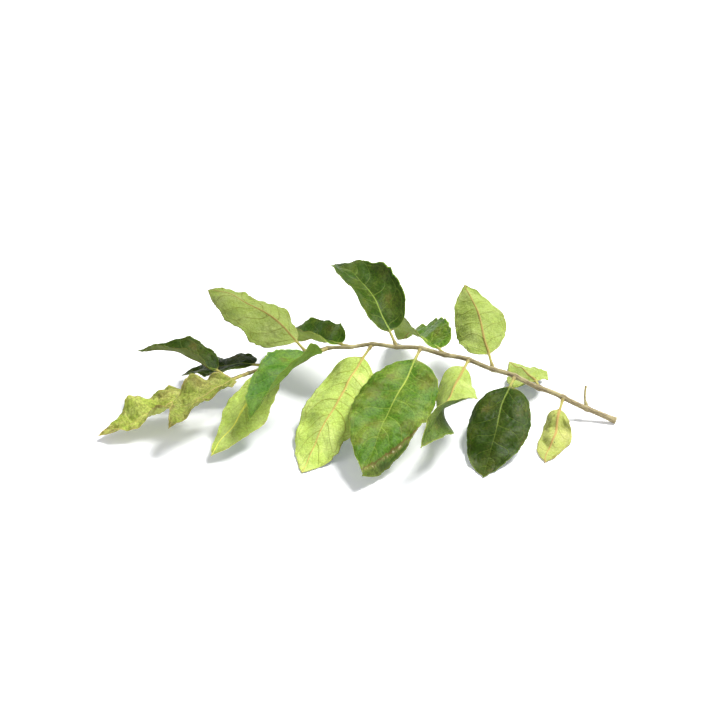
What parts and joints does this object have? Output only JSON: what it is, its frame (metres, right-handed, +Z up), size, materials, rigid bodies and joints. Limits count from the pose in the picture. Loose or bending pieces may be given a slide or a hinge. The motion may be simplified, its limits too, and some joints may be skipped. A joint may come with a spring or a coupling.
{
  "type": "curry leaf sprig",
  "caption": "Cut, wilted curry leaf sprig lying on a surface: one arched stalk with pointed oval leaflets in turn along both sides and one at its end.",
  "frame": {"origin": "centre of the bounding box's underside, on the surface that the sprig lies on", "axes": "+X from the end leaflet towards the cut end, +Y towards the leaflets of the stalk's right side, +Z up"},
  "size_m": [0.1892, 0.0998, 0.0452],
  "materials": {
    "stalk": "matte, grey-brown to cream",
    "leaf_dark": "dark green, semi-gloss upper side; paler matte underside",
    "leaf_green": "green, semi-gloss upper side; paler matte underside",
    "leaf_pale": "pale yellow-green matte underside uppermost",
    "leaf_yellow": "dry yellow-green, matte"
  },
  "bodies": {
    "root": {"rachis": "stalk", "bare_leaflet_stalk": "stalk", "left_leaflet_1": "leaf_yellow", "right_leaflet_1": "leaf_pale", "left_leaflet_2": "leaf_dark", "right_leaflet_2": "leaf_pale", "left_leaflet_3": "leaf_pale", "right_leaflet_3": "leaf_green", "left_leaflet_4": "leaf_green", "right_leaflet_4": "leaf_dark", "left_leaflet_5": "leaf_pale", "right_leaflet_5": "leaf_green", "left_leaflet_6": "leaf_green", "right_leaflet_6": "leaf_pale", "left_leaflet_7": "leaf_pale", "right_leaflet_7": "leaf_dark", "left_leaflet_8": "leaf_yellow", "right_leaflet_8": "leaf_dark", "terminal_leaflet": "leaf_yellow"}
  },
  "joints": []
}
